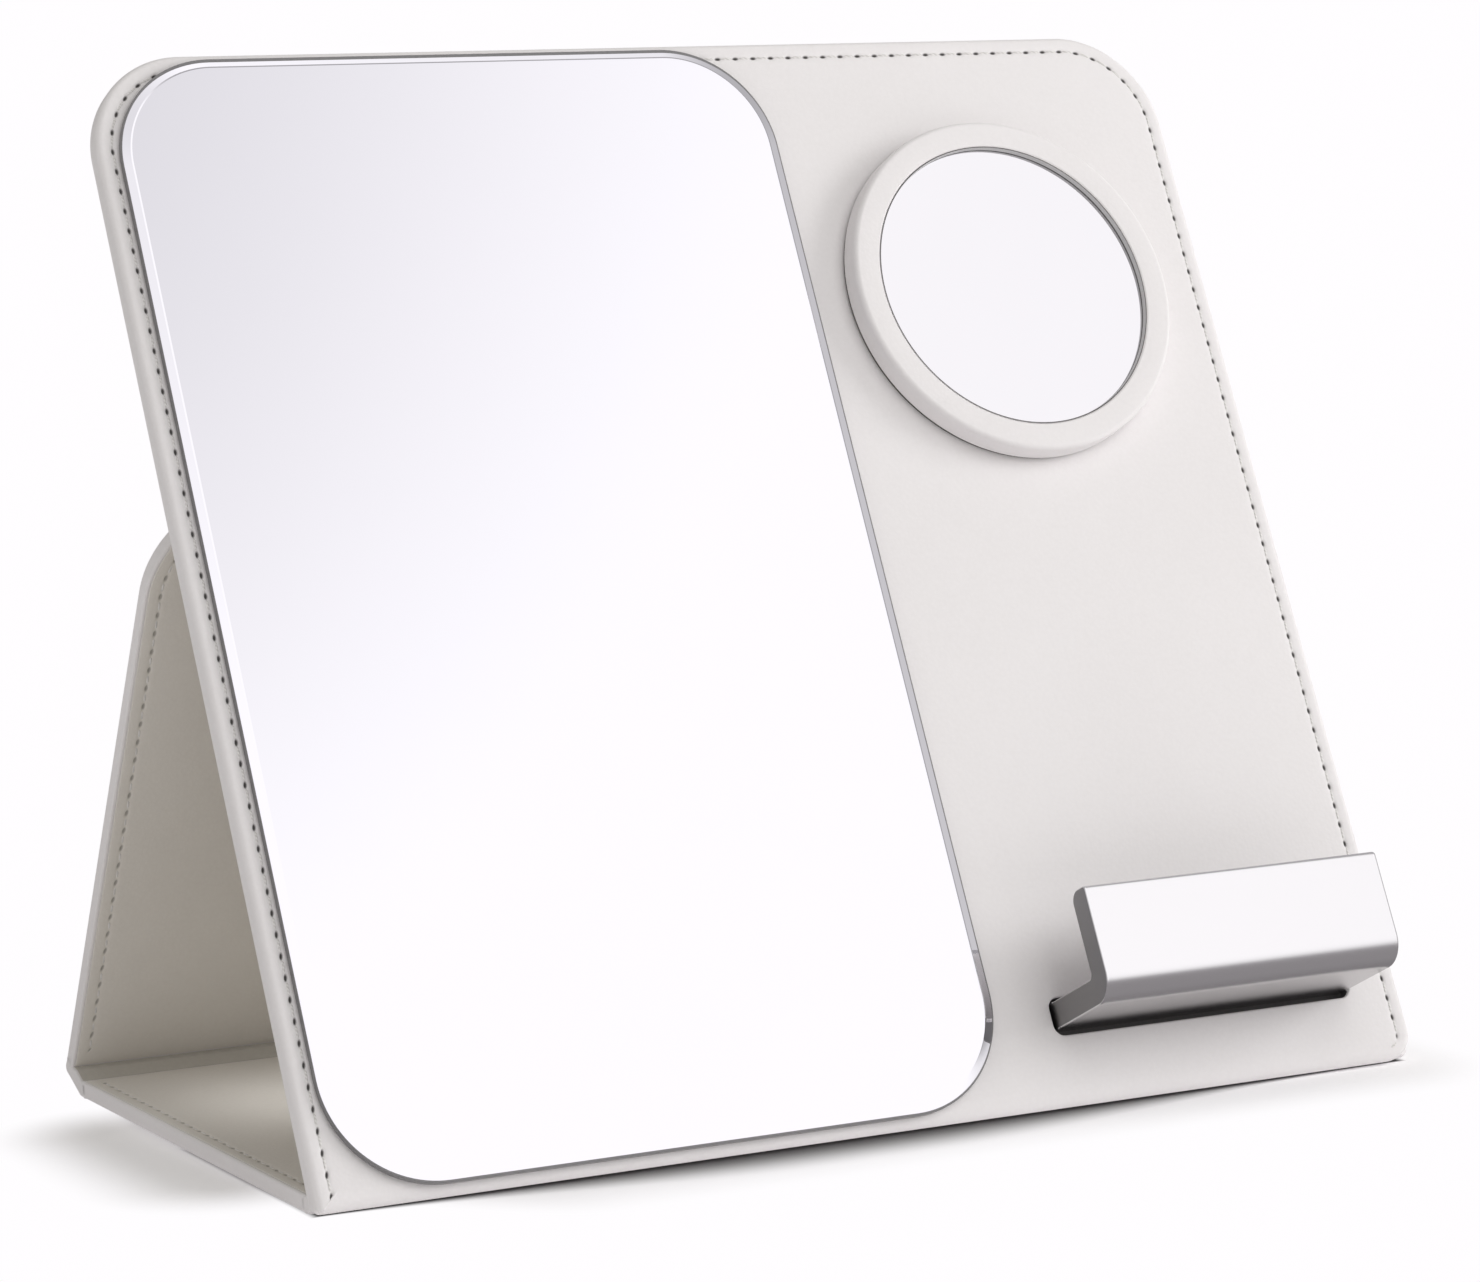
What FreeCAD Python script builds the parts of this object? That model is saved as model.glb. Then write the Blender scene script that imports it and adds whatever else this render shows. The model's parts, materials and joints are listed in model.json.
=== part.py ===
import FreeCAD, Part
import math
import os

V = FreeCAD.Vector

# Folding travel mirror: three leather-covered panels standing as a triangle, with a large mirror,
# a round mirror that lifts off and a phone rest that plugs into a slot in the front panel.
# Sizes are in millimetres and degrees. X runs across the panels, Y to the rear, Z up.

# Panels
panel_width = 220.0
front_height = 203.7
front_thickness = 3.8
front_corner = 19.0
foot_corners = (1.5, 6.0)
front_lean = 26.0
stand_thickness = 3.2
stand_corner = 1.5
stand_corners = (stand_corner, stand_corner)
base_length = 101.5
back_lean = 26.0
back_corner = 20.0
edge_round = 0.9

# Layers of a panel
skin_thickness = 0.7
lining_thickness = 0.5
turn_in = 8.0

# Creases between the panels
fold_gap = 0.3
floor_gap = 0.45
crease_leather = 0.3
crease_lip = 3.6
spine_thickness = 2.4
spine_pitch = 7.0
spine_rise = 27.0
spine_gap = 0.15

# Stitching
stitch_inset = 3.0
thread_width = 0.6
thread_groove = 0.2
thread_proud = 0.1

# Large mirror
mirror_side_margin = 3.8
mirror_top_margin = 1.5
mirror_foot_margin = 2.6
mirror_corner = 20.0
column_width = 86.7
glass_thickness = 1.5
tape_thickness = 0.2
bevel_width = 1.6
bevel_depth = 0.28

# Round mirror, standing off the front panel by its seat gap
puck_radius = 33.5
puck_height = 5.2
puck_round = 1.0
puck_below_top = 53.1
puck_offset = -2.65
puck_seat_gap = 0.05
puck_glass_radius = 27.9
puck_glass_thickness = 1.6
puck_glass_recess = 1.2
puck_glass_flat = 0.5
puck_glass_curve = 600.0
puck_rim_width = 0.3
puck_rim_proud = 1.1
puck_rim_edge = 0.2
puck_pad_thickness = 0.8
puck_magnet_radius = 5.0
puck_magnet_thickness = 1.4
puck_magnet_circle = 18.0
puck_magnet_count = 4
puck_keeper_radius = 24.0
keeper_thickness = 0.8

# Phone rest and its slot
rest_length = 62.6
rest_wall = 5.0
rest_gap = 14.9
rest_lip = 15.7
rest_bend = 5.0
rest_inner_bend = 1.0
rest_lip_round = 2.4
rest_lip_edge = 0.8
rest_end_round = 0.4
rest_above_crease = 9.6
rest_offset = 0.65
rest_face_gap = 0.15
slot_end_gap = 0.6
slot_height = 7.0
slot_below_rest = 1.2
slot_corner = 2.0
slot_depth_gap = 0.3
liner_wall = 0.8
liner_floor = 0.6

# Magnets in the back panel's top edge and the steel strip that they hold
latch_magnet_length = 24.0
latch_magnet_width = 6.0
latch_magnet_thickness = 1.2
latch_magnet_spread = 120.0
latch_magnet_inset = 5.0
latch_strip_width = 14.0
latch_strip_overhang = 3.0

# Smallest radius left on a corner of an inset outline
least_round = 0.2

# Worked-out places
half_gap = fold_gap / 2
spine_radius = spine_thickness / 2
lean_sin = math.sin(math.radians(front_lean))
lean_cos = math.cos(math.radians(front_lean))
front_axis = V(0, 0, stand_thickness + half_gap)
spine_axis = V(0, base_length + spine_gap + spine_radius, spine_radius)
rise = math.radians(spine_rise)
back_axis = spine_axis + V(0, spine_pitch * math.cos(rise), spine_pitch * math.sin(rise))


def foot_edge(depth):
    """Lower end of the front panel at a depth from its rear face: level with the floor at rest."""
    drop = front_axis.z - floor_gap + (depth + half_gap) * lean_sin
    return -drop / lean_cos


foot_front = foot_edge(front_thickness)
foot_rear = foot_edge(0)
column_centre = panel_width / 2 - column_width / 2
puck_x = column_centre + puck_offset
puck_y = front_height - puck_below_top
rest_left = column_centre + rest_offset - rest_length / 2
rest_right = rest_left + rest_length
slot_left = rest_left - slot_end_gap
slot_right = rest_right + slot_end_gap
slot_low = rest_above_crease - slot_below_rest
slot_high = slot_low + slot_height


def back_reach():
    """Length of the back panel, so that its inner top edge stops a fold gap short of the front panel."""
    to_front = V(0, -lean_cos, lean_sin)
    lean = math.radians(back_lean)
    along = V(0, -math.sin(lean), math.cos(lean))
    outward = V(0, math.cos(lean), math.sin(lean))
    inner_face = outward * (spine_radius - stand_thickness)
    room = half_gap - fold_gap - (back_axis + inner_face - front_axis).dot(to_front)
    return room / along.dot(to_front)


back_length = back_reach()
back_low = spine_radius + spine_gap


def rounded_polygon(corners):
    """Closed wire in the XY plane through (x, y, radius) corners."""
    count = len(corners)
    starts = []
    middles = []
    ends = []
    for i in range(count):
        here = V(corners[i][0], corners[i][1], 0)
        before = V(corners[i - 1][0], corners[i - 1][1], 0)
        after = V(corners[(i + 1) % count][0], corners[(i + 1) % count][1], 0)
        radius = corners[i][2]
        back_way = (before - here).normalize()
        on_way = (after - here).normalize()
        half = back_way.getAngle(on_way) / 2
        centre = here + (back_way + on_way).normalize() * (radius / math.sin(half))
        starts.append(here + back_way * (radius / math.tan(half)))
        ends.append(here + on_way * (radius / math.tan(half)))
        middles.append(centre + (here - centre).normalize() * radius if radius else here)
    edges = []
    for i in range(count):
        if corners[i][2]:
            edges.append(Part.Arc(starts[i], middles[i], ends[i]).toShape())
        following = starts[(i + 1) % count]
        if ends[i].distanceToPoint(following) > 1e-6:
            edges.append(Part.makeLine(ends[i], following))
    return Part.Wire(edges)


def rectangle(x0, x1, y0, y1, low_radii, high_radius):
    """Rectangle with its own radius at its low left corner, its low right corner and both high corners."""
    left, right = low_radii
    return rounded_polygon([
        (x0, y0, left), (x1, y0, right), (x1, y1, high_radius), (x0, y1, high_radius),
    ])


def prism(wire, z0, z1):
    """Flat outline given thickness from z0 to z1."""
    solid = Part.Face(wire).extrude(V(0, 0, z1 - z0))
    solid.translate(V(0, 0, z0))
    return solid


def bar(wire, x0, x1):
    """Section drawn as (Y, Z), run along X from x0 to x1."""
    solid = prism(wire, x0, x1)
    solid.rotate(V(0, 0, 0), V(1, 1, 1), 120)
    return solid


def block(x0, x1, y0, y1, z0, z1):
    return Part.makeBox(x1 - x0, y1 - y0, z1 - z0, V(x0, y0, z0))


def disc(x, y, radius, z0, z1):
    return Part.makeCylinder(radius, z1 - z0, V(x, y, z0))


def panel_outline(y0, y1, low_radii, high_radius, inset):
    """Outline of a panel drawn in by inset all round."""
    half = panel_width / 2 - inset
    low = [max(radius - inset, least_round) for radius in low_radii]
    high = max(high_radius - inset, least_round)
    return rectangle(-half, half, y0 + inset, y1 - inset, low, high)


def soften(solid, z, radius):
    """Round every edge that lies at height z."""
    level = [e for e in solid.Edges if abs(e.BoundBox.ZMin - z) + abs(e.BoundBox.ZMax - z) < 1e-4]
    return solid.makeFillet(radius, level)


def stitch_line(y0, y1, low_radii, high_radius, z0, z1):
    """Closed thread line at the stitch inset of a panel outline."""
    outer = panel_outline(y0, y1, low_radii, high_radius, stitch_inset - thread_width / 2)
    inner = panel_outline(y0, y1, low_radii, high_radius, stitch_inset + thread_width / 2)
    return prism(outer, z0, z1).cut(prism(inner, z0, z1))


def across(y0, y1, thickness):
    """Block over the whole width of a panel, used to trim thread lines."""
    margin = panel_width
    return block(-margin, margin, y0, y1, -thickness, 2 * thickness)


# Front panel, laid flat: rear face at z = 0, front face at z = front_thickness, y from the crease axis

def front_outline(inset):
    return panel_outline(foot_front, front_height, foot_corners, front_corner, inset)


def front_outer():
    """Whole front panel with its edges rounded and its foot cut level with the floor."""
    slab = soften(prism(front_outline(0), 0, front_thickness), front_thickness, edge_round)
    slab = soften(slab, 0, edge_round)
    behind = -front_thickness
    before = 2 * front_thickness
    low = foot_edge(before)
    foot = rounded_polygon([(foot_edge(behind), behind, 0), (low, before, 0), (low, behind, 0)])
    return slab.cut(bar(foot, -panel_width, panel_width))


def front_board_space():
    low = foot_rear + skin_thickness + edge_round
    outline = panel_outline(low - skin_thickness, front_height, foot_corners, front_corner, skin_thickness)
    return prism(outline, lining_thickness, front_thickness - skin_thickness)


def front_lining():
    outline = panel_outline(foot_rear, front_height, foot_corners, front_corner, turn_in)
    return prism(outline, 0, lining_thickness)


def front_stitching():
    """Thread on both faces, left out where the large mirror covers the front face."""
    low = foot_rear + stitch_inset
    ends = (foot_front, front_height, foot_corners, front_corner)
    face = front_thickness
    front = stitch_line(*ends, face - thread_groove, face + thread_proud)
    front = front.cut(prism(mirror_outline(-thread_proud), 0, 2 * face))
    rear = stitch_line(*ends, -thread_proud, thread_groove)
    below = across(foot_front - face, low, face)
    return Part.Compound(front.cut(below).Solids + rear.cut(below).Solids)


def mirror_outline(inset):
    left = -panel_width / 2 + mirror_side_margin + inset
    right = panel_width / 2 - column_width - inset
    low = foot_front + mirror_foot_margin + inset
    high = front_height - mirror_top_margin - inset
    corner = mirror_corner - inset
    return rectangle(left, right, low, high, (corner, corner), corner)


def mirror_tape():
    return prism(mirror_outline(bevel_width), front_thickness, front_thickness + tape_thickness)


def mirror_glass():
    """Plate with a narrow sloping bevel all round its front edge."""
    back = front_thickness + tape_thickness
    shoulder = back + glass_thickness - bevel_depth
    plate = prism(mirror_outline(0), back, shoulder)
    wide = mirror_outline(0)
    wide.translate(V(0, 0, shoulder))
    narrow = mirror_outline(bevel_width)
    narrow.translate(V(0, 0, back + glass_thickness))
    slope = Part.makeLoft([wide, narrow], True, True)
    return plate.fuse(slope).removeSplitter()


def slot_outline(grow):
    corner = slot_corner + grow
    return rectangle(slot_left - grow, slot_right + grow, slot_low - grow, slot_high + grow, (corner, corner), corner)


def slot_liner():
    """Shallow cup under the skin, open towards the front."""
    top = front_thickness - skin_thickness
    cup = prism(slot_outline(liner_wall), lining_thickness, top)
    return cup.cut(prism(slot_outline(0), lining_thickness + liner_floor, front_thickness))


def puck_keeper():
    top = front_thickness - skin_thickness
    return disc(puck_x, puck_y, puck_keeper_radius, top - keeper_thickness, top)


def latch_contact():
    """Height above the crease axis where the back panel's top edge meets the front panel."""
    lean = math.radians(back_lean)
    along = V(0, -math.sin(lean), math.cos(lean))
    outward = V(0, math.cos(lean), math.sin(lean))
    corner = back_axis + along * back_length + outward * (spine_radius - stand_thickness)
    return (corner - front_axis).dot(V(0, lean_sin, lean_cos))


def latch_strip():
    half = (latch_magnet_spread + latch_magnet_length) / 2 + latch_strip_overhang
    middle = latch_contact()
    low = middle - latch_strip_width / 2
    high = middle + latch_strip_width / 2
    return block(-half, half, low, high, lining_thickness, lining_thickness + keeper_thickness)


def front_board():
    board = front_board_space().cut(prism(slot_outline(liner_wall), 0, front_thickness))
    return board.cut(puck_keeper()).cut(latch_strip())


def front_skin():
    skin = front_outer().cut(front_board_space()).cut(front_lining())
    skin = skin.cut(prism(slot_outline(0), lining_thickness, 2 * front_thickness))
    return skin.cut(front_stitching())


# Base and back panels, laid flat: lining face at z = 0, leather face at z = stand_thickness

def stand_outer(y0, y1, high_radius):
    slab = prism(panel_outline(y0, y1, stand_corners, high_radius, 0), 0, stand_thickness)
    slab = soften(slab, stand_thickness, edge_round)
    return soften(slab, 0, edge_round)


def stand_board(y0, y1, high_radius):
    outline = panel_outline(y0, y1, stand_corners, high_radius, skin_thickness)
    return prism(outline, lining_thickness, stand_thickness - skin_thickness)


def stand_lining(y0, y1, high_radius):
    return prism(panel_outline(y0, y1, stand_corners, high_radius, turn_in), 0, lining_thickness)


def stand_skin(y0, y1, high_radius, thread):
    skin = stand_outer(y0, y1, high_radius).cut(stand_board(y0, y1, high_radius))
    return skin.cut(stand_lining(y0, y1, high_radius)).cut(thread)


def base_stitching():
    """Thread along both sides of the base, on its upper face."""
    lines = stitch_line(0, base_length, stand_corners, stand_corner, -thread_proud, thread_groove)
    trim = stitch_inset + thread_width
    lines = lines.cut(across(-trim, trim, stand_thickness))
    return lines.cut(across(base_length - trim, base_length + trim, stand_thickness))


def back_stitching():
    """Thread round the sides and top of the back panel, on both faces."""
    ends = (back_low, back_length, stand_corners, back_corner)
    inner = stitch_line(*ends, -thread_proud, thread_groove)
    outer = stitch_line(*ends, stand_thickness - thread_groove, stand_thickness + thread_proud)
    trim = across(back_low - stitch_inset, back_low + stitch_inset + thread_width, stand_thickness)
    return Part.Compound(inner.cut(trim).Solids + outer.cut(trim).Solids)


def latch_magnets():
    """Two bar magnets inside the back panel's board, near its top edge."""
    high = back_length - latch_magnet_inset
    magnets = []
    for side in (-1, 1):
        middle = side * latch_magnet_spread / 2
        left = middle - latch_magnet_length / 2
        magnets.append(block(left, left + latch_magnet_length, high - latch_magnet_width, high,
                             lining_thickness, lining_thickness + latch_magnet_thickness))
    return Part.Compound(magnets)


# Creases

def front_crease():
    """Leather in the crease: a wedge behind the foot and a lip that runs under it."""
    top = stand_thickness - edge_round
    clear = half_gap / lean_cos

    def slope(z):
        return clear + (z - front_axis.z) * lean_sin / lean_cos

    return bar(rounded_polygon([
        (0, 0, 0), (0, top, 0), (slope(top), top, 0), (slope(crease_leather), crease_leather, 0),
        (-crease_lip, crease_leather, 0), (-crease_lip, 0, 0),
    ]), -panel_width / 2, panel_width / 2)


def rear_spine():
    """Strip of leather that joins the base to the back panel, with rounded long edges."""
    r = spine_radius
    section = rectangle(-r, spine_pitch + r, -r, r, (r, r), r)
    return bar(section, -panel_width / 2, panel_width / 2)


# Round mirror, laid flat: rear face at z = 0, axis along z

def puck_levels():
    glass_top = puck_height - puck_glass_recess
    return glass_top - puck_glass_thickness, glass_top


puck_core_radius = puck_glass_radius + puck_rim_width


def puck_shell():
    """Leather-covered ring with a rounded outer front edge."""
    ring = disc(0, 0, puck_radius, 0, puck_height)
    ring = soften(ring, puck_height, puck_round)
    ring = ring.cut(disc(0, 0, puck_core_radius, -1, puck_height + 1))
    return ring


def puck_pad():
    return disc(0, 0, puck_core_radius, 0, puck_pad_thickness)


def puck_magnets():
    magnets = []
    for i in range(puck_magnet_count):
        angle = 2 * math.pi * i / puck_magnet_count
        x = puck_magnet_circle * math.cos(angle)
        y = puck_magnet_circle * math.sin(angle)
        magnets.append(disc(x, y, puck_magnet_radius, puck_pad_thickness,
                            puck_pad_thickness + puck_magnet_thickness))
    return Part.Compound(magnets)


def puck_core():
    glass_back = puck_levels()[0]
    return disc(0, 0, puck_core_radius, puck_pad_thickness, glass_back).cut(puck_magnets())


def puck_glass():
    """Round glass with a hollowed face and a narrow flat rim."""
    glass_back, glass_top = puck_levels()
    plate = disc(0, 0, puck_glass_radius, glass_back, glass_top)
    hollow = puck_glass_radius - puck_glass_flat
    rise_of_ball = math.sqrt(puck_glass_curve ** 2 - hollow ** 2)
    return plate.cut(Part.makeSphere(puck_glass_curve, V(0, 0, glass_top + rise_of_ball)))


def puck_rim():
    """Thin ring whose inner face slopes from the leather down to the glass."""
    glass_back, glass_top = puck_levels()
    ring = disc(0, 0, puck_core_radius, glass_back, glass_top + puck_rim_proud)
    slope = Part.makeCone(puck_glass_radius, puck_core_radius - puck_rim_edge, puck_rim_proud, V(0, 0, glass_top))
    return ring.cut(disc(0, 0, puck_glass_radius, glass_back - 1, glass_top)).cut(slope)


# Phone rest, in the front panel's flat frame

def phone_rest():
    """Shelf with an upturned lip, plugged into the slot by a tongue."""
    face = front_thickness + rest_face_gap
    lip_rear = front_thickness + rest_gap
    lip_front = lip_rear + rest_wall
    under = rest_above_crease
    shelf = under + rest_wall
    top = shelf + rest_lip
    profile = bar(rounded_polygon([
        (under, face, 0), (under, lip_front, rest_bend), (top, lip_front, rest_lip_edge),
        (top, lip_rear, rest_lip_round), (shelf, lip_rear, rest_inner_bend), (shelf, face, 0),
    ]), rest_left, rest_right)
    ends = []
    for edge in profile.Edges:
        if edge.BoundBox.XLength < 1e-4 and edge.BoundBox.ZMin > face + 1e-4:
            ends.append(edge)
    profile = profile.makeFillet(rest_end_round, ends)
    tongue_back = lining_thickness + liner_floor + slot_depth_gap
    tongue = block(rest_left, rest_right, under, shelf, tongue_back, face)
    return profile.fuse(tongue).removeSplitter()


# Places of the flat-laid pieces on the standing object

def on_front(shape):
    shape.translate(V(0, 0, half_gap))
    shape.rotate(V(0, 0, 0), V(1, 0, 0), 90 - front_lean)
    shape.translate(front_axis)
    return shape


def on_base(shape):
    shape.rotate(V(0, 0, 0), V(0, 1, 0), 180)
    shape.translate(V(0, 0, stand_thickness))
    return shape


def on_spine(shape):
    shape.rotate(V(0, 0, 0), V(1, 0, 0), spine_rise)
    shape.translate(spine_axis)
    return shape


def on_back(shape):
    shape.rotate(V(0, 0, 0), V(0, 1, 0), 180)
    shape.translate(V(0, 0, stand_thickness - spine_radius))
    shape.rotate(V(0, 0, 0), V(1, 0, 0), 90 + back_lean)
    shape.translate(back_axis)
    return shape


def on_puck(shape):
    shape.translate(V(puck_x, puck_y, front_thickness + puck_seat_gap))
    return on_front(shape)


base_ends = (0, base_length, stand_corner)
back_ends = (back_low, back_length, back_corner)

nodes = {
    "front_board": on_front(front_board()),
    "front_skin": on_front(front_skin()),
    "front_lining": on_front(front_lining()),
    "front_stitching": on_front(front_stitching()),
    "mirror_tape": on_front(mirror_tape()),
    "mirror_glass": on_front(mirror_glass()),
    "slot_liner": on_front(slot_liner()),
    "puck_keeper": on_front(puck_keeper()),
    "latch_strip": on_front(latch_strip()),
    "base_board": on_base(stand_board(*base_ends)),
    "base_skin": on_base(stand_skin(*base_ends, base_stitching())),
    "base_lining": on_base(stand_lining(*base_ends)),
    "base_stitching": on_base(base_stitching()),
    "front_crease": front_crease(),
    "rear_spine": on_spine(rear_spine()),
    "back_board": on_back(stand_board(*back_ends).cut(latch_magnets())),
    "back_skin": on_back(stand_skin(*back_ends, back_stitching())),
    "back_lining": on_back(stand_lining(*back_ends)),
    "back_stitching": on_back(back_stitching()),
    "latch_magnets": on_back(latch_magnets()),
    "puck_shell": on_puck(puck_shell()),
    "puck_core": on_puck(puck_core()),
    "puck_glass": on_puck(puck_glass()),
    "puck_rim": on_puck(puck_rim()),
    "puck_magnets": on_puck(puck_magnets()),
    "puck_pad": on_puck(puck_pad()),
    "phone_rest": on_front(phone_rest()),
}

# The origin is on the floor under the middle of the standing object

whole = FreeCAD.BoundBox()
for shape in nodes.values():
    whole.add(shape.optimalBoundingBox(False, False))
to_origin = V(-whole.Center.x, -whole.Center.y, -whole.ZMin)

os.makedirs("parts", exist_ok=True)
for name, shape in nodes.items():
    shape.translate(to_origin)
    shape.exportStep("parts/" + name + ".step")

for name, axis in (("front crease", front_axis), ("spine", spine_axis), ("back", back_axis)):
    place = axis + to_origin
    print("%s axis at y %.4f z %.4f" % (name, place.y, place.z))
print("back panel length %.3f, object %.2f x %.2f x %.2f"
      % (back_length, whole.XLength, whole.YLength, whole.ZLength))
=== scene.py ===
import json
import math
from collections import namedtuple

import bmesh
import bpy
import numpy as np
from mathutils import Matrix, Vector


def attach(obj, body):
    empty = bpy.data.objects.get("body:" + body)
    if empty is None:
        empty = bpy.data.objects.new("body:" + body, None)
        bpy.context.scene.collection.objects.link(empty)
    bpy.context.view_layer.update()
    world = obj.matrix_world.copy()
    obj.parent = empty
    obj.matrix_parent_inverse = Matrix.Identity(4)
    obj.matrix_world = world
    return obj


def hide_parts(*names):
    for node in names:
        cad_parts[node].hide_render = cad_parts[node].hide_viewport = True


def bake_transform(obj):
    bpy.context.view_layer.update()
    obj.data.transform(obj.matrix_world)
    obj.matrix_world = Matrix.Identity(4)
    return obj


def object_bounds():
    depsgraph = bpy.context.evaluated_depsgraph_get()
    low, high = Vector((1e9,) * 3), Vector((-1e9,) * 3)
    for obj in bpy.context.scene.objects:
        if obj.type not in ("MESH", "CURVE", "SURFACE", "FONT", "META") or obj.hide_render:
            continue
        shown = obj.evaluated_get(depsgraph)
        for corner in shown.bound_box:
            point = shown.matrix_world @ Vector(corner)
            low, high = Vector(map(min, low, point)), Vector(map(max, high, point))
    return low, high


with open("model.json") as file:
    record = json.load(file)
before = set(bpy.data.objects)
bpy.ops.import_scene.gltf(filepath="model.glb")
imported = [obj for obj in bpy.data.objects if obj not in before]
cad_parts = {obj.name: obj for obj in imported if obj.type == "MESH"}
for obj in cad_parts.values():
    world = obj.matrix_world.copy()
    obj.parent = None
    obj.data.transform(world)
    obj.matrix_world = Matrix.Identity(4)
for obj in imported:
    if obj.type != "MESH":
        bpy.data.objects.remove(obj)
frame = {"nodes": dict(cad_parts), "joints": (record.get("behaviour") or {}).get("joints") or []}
cad_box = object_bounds()

# Folding travel mirror. Lengths are in metres; MM turns millimetres into metres.
MM = 0.001

# Leather panels. An edge gives how far the leather rolls in over each face and how deep that roll is.
Edge = namedtuple("Edge", "roll drop inner_roll inner_drop")
front_edge = Edge(1.4 * MM, 1.25 * MM, 0.9 * MM, 0.9 * MM)
front_top_edge = Edge(1.0 * MM, 0.8 * MM, 0.9 * MM, 0.9 * MM)
foot_edge = Edge(4.4 * MM, 2.4 * MM, 0.4 * MM, 0.4 * MM)
stand_edge = Edge(0.85 * MM, 0.85 * MM, 0.5 * MM, 0.5 * MM)
crease_edge = Edge(0.1 * MM, 0.1 * MM, 0.1 * MM, 0.1 * MM)
front_corner = 19.0 * MM
foot_corners = (1.5 * MM, 6.0 * MM)
foot_lower = 0.33 * MM
slant_reach = 3 * foot_edge.roll
back_corner = 20.0 * MM
least_round = 0.3 * MM
roll_turns = (0, 18, 36, 54, 72, 90)

# Linings, laid a little proud of the inner faces. Their edge is a list of (inset, share of the thickness).
lining_margin = 0.25 * MM
lining_lift = 0.08 * MM
lining_back = 0.45 * MM
lining_tuck = 1.6 * MM
lining_edge = ((0.3 * MM, 0), (0.1 * MM, 0.1), (0, 0.35), (0, 1.0))

# Seams. Proud is how far a thread stands above its face, and fade how soon a seam ends round a low corner.
seam_inset = 3.0 * MM
seam_clear = 0.1 * MM
seam_depth = 0.11 * MM
seam_width = 0.5 * MM
seam_fade = 1.6
lining_seam = 0.7
hole_depth = 0.34 * MM
hole_width = 0.31 * MM
hole_length = 0.68 * MM
stitch_pitch = 3.75 * MM
stitch_gap = 0.11
stitch_slant = 0.16 * MM
thread_radius = 0.27 * MM
thread_flat = 0.9
thread_dive = 0.55 * MM
dive_power = 3.5
outer_proud = 0.07 * MM
base_proud = -0.03 * MM
lined_proud = lining_lift + 0.04 * MM
thread_stations = 7
thread_sides = 8
column_phases = (0, 0.08, 0.16, 0.28, 0.5, 0.72, 0.84, 0.92)
row_offsets = tuple(x * MM for x in (6.0, 2.4, 1.2, 0.75, 0.45, 0.2, 0, -0.2, -0.45, -0.75))

# Slot for the phone rest
slot_wall = 0.8 * MM
slot_corner = 2.0 * MM
slot_lip = 0.4 * MM
slot_depth = 0.66 * MM
slot_flange = 1.3 * MM
slot_step = slot_lip / 20

# Large mirror
mirror_corner = 20.0 * MM
glass_bevel = 1.6 * MM
glass_bevel_drop = 0.28 * MM
glass_facet = 0.28 * MM
glass_facet_drop = 0.1 * MM
glass_arris = 0.06 * MM
bare_edge = 0.17 * MM

# Round mirror
ring_top_round = 1.0 * MM
ring_inner_round = 0.45 * MM
ring_foot_round = 0.3 * MM
ring_foot_gap = 0.6 * MM
ring_clear = 0.02 * MM
bezel_lip = 0.16 * MM
bezel_foot = 0.18 * MM
round_glass_curve = 600 * MM
round_glass_rim = 0.5 * MM
round_glass_hub = 0.02

# Creases
crease_tuck = 1.0 * MM
crease_thin = 0.3 * MM
crease_core = 0.17 * MM
corner_spread = 0.01 * MM

across = Vector((1, 0, 0))
joints = {joint["name"]: joint for joint in frame["joints"]}


# Panel coordinates: x across, y along the panel from its crease, z out of its leather face

def panel_axes(origin, along, face):
    """Matrix from panel coordinates to the row frame."""
    made = Matrix((along.cross(face), along, face)).transposed().to_4x4()
    made.translation = origin
    return made


def laid_flat(node, axes):
    """Lowest and highest corner of a CAD node in panel coordinates."""
    back = np.array(axes.inverted())
    places = np.array([vertex.co for vertex in frame["nodes"][node].data.vertices])
    flat = places @ back[:3, :3].T + back[:3, 3]
    return Vector(flat.min(0)), Vector(flat.max(0))


front_crease = Vector(joints["front_fold"]["pos_m"])
front_face = Vector(joints["round_mirror_lift"]["axis"])
front_up = front_face.cross(across)
front_lean = math.atan2(front_up.y, front_up.z)
front_axes = panel_axes(front_crease, front_up, front_face)
base_axes = panel_axes(front_crease, Vector((0, 1, 0)), Vector((0, 0, -1)))
spine_low = Vector(joints["spine_fold"]["pos_m"])
spine_high = Vector(joints["back_fold"]["pos_m"])
back_turn = joints["back_fold"]["range_deg"][1] + joints["spine_fold"]["range_deg"][1]
back_lean = math.radians(back_turn - 90)
back_up = Vector((0, -math.sin(back_lean), math.cos(back_lean)))
back_face = Vector((0, math.cos(back_lean), math.sin(back_lean)))
back_axes = panel_axes(spine_high, back_up, back_face)


# Outlines

side_count = 8
LEFT, HIGH_LEFT, TOP, HIGH_RIGHT, RIGHT, LOW_RIGHT, BOTTOM, LOW_LEFT = range(side_count)


class Places:
    """Places round an outline: side, share of the way along it, how sewn, and how near a needle hole."""

    def __init__(self, rows):
        side, part, sewn, hole = zip(*rows)
        self.side = np.array(side)
        self.part = np.array(part, float)
        self.sewn = np.array(sewn, float)
        self.hole = np.array(hole, float)

    def share_of(self, side):
        """1 along one side, fading to 0 round the corners at its two ends."""
        turn = self.part * self.part * (3 - 2 * self.part)
        share = np.where(self.side == side, 1.0, 0.0)
        share = np.where(self.side == (side - 1) % side_count, turn, share)
        return np.where(self.side == (side + 1) % side_count, 1 - turn, share)


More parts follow.
